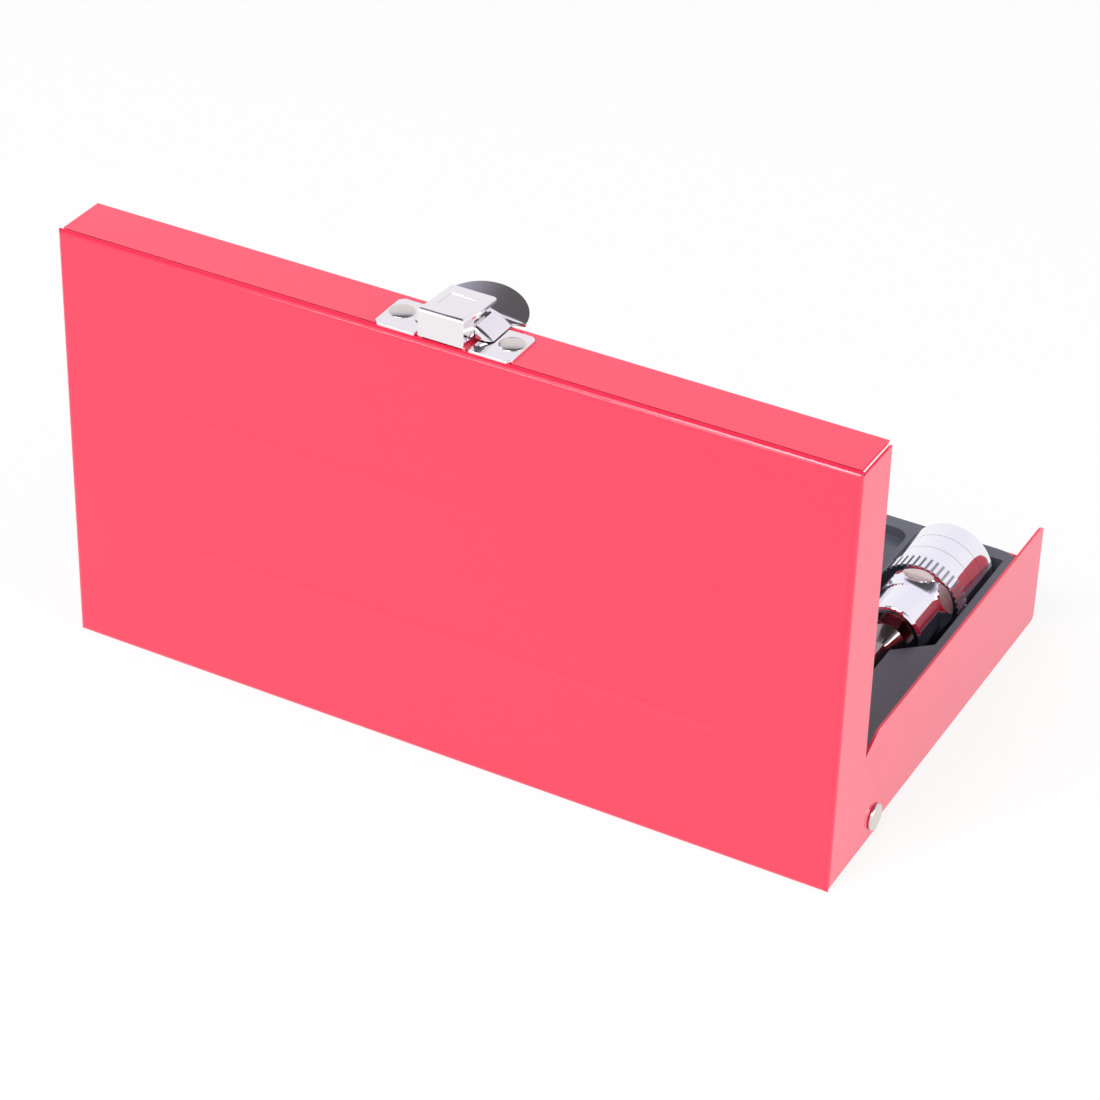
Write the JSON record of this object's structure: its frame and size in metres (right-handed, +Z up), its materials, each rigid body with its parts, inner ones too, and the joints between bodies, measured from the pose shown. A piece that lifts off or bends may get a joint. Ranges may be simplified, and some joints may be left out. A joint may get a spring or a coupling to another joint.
{
  "type": "bit socket case",
  "caption": "Folded sheet-metal case with a riveted hinged lid, a snap latch and a moulded tray that holds a row of long bit sockets.",
  "frame": {"origin": "centre of the base's underside, on the surface that the case stands on", "axes": "+Z up, +X along the hinge, -Y towards the latch side; the lid stands open"},
  "size_m": [0.218, 0.1364, 0.1273],
  "materials": {
    "red_paint": "semi-gloss",
    "grey_plastic": "satin",
    "nickel": "polished nickel",
    "rivet_nickel": "satin nickel",
    "spring_steel": "satin",
    "chrome": "polished chrome",
    "dark_steel": "dark nickel"
  },
  "bodies": {
    "base": {"base_shell": "red_paint", "striker": "nickel", "tray_insert": "grey_plastic", "hinge_rivet_left": "rivet_nickel", "hinge_rivet_right": "rivet_nickel"},
    "lid": {"lid_shell": "red_paint", "latch_plate": "nickel", "latch_rivets": "rivet_nickel", "latch_hood": "nickel", "latch_pin": "rivet_nickel", "latch_spring": "spring_steel"},
    "lever": {"latch_lever": "nickel"},
    "bit_socket_1": {"socket_1": "chrome", "bit_1": "dark_steel"},
    "bit_socket_2": {"socket_2": "chrome", "bit_2": "dark_steel"},
    "bit_socket_3": {"socket_3": "chrome", "bit_3": "dark_steel"},
    "bit_socket_4": {"socket_4": "chrome", "bit_4": "dark_steel"},
    "bit_socket_5": {"socket_5": "chrome", "bit_5": "dark_steel"},
    "bit_socket_6": {"socket_6": "chrome", "bit_6": "dark_steel"}
  },
  "joints": [
    {"name": "lid_hinge", "type": "hinge", "parent": "base", "child": "lid", "pos_m": [0, 0.05085, 0.0065], "axis": [-1, 0, 0], "range_deg": [-90, 0]},
    {"name": "latch_lever_pivot", "type": "hinge", "parent": "lid", "child": "lever", "pos_m": [0, 0.07295, 0.1219], "axis": [-1, 0, 0], "range_deg": [0, 6], "stiffness_Nm_per_rad": 0.3, "springref_deg": -8.59},
    {"name": "lift_1", "type": "slide", "parent": "base", "child": "bit_socket_1", "axis": [0, 0, 1], "range_m": [0, 0.06]},
    {"name": "lift_2", "type": "slide", "parent": "base", "child": "bit_socket_2", "axis": [0, 0, 1], "range_m": [0, 0.06]},
    {"name": "lift_3", "type": "slide", "parent": "base", "child": "bit_socket_3", "axis": [0, 0, 1], "range_m": [0, 0.06]},
    {"name": "lift_4", "type": "slide", "parent": "base", "child": "bit_socket_4", "axis": [0, 0, 1], "range_m": [0, 0.06]},
    {"name": "lift_5", "type": "slide", "parent": "base", "child": "bit_socket_5", "axis": [0, 0, 1], "range_m": [0, 0.06]},
    {"name": "lift_6", "type": "slide", "parent": "base", "child": "bit_socket_6", "axis": [0, 0, 1], "range_m": [0, 0.06]}
  ]
}
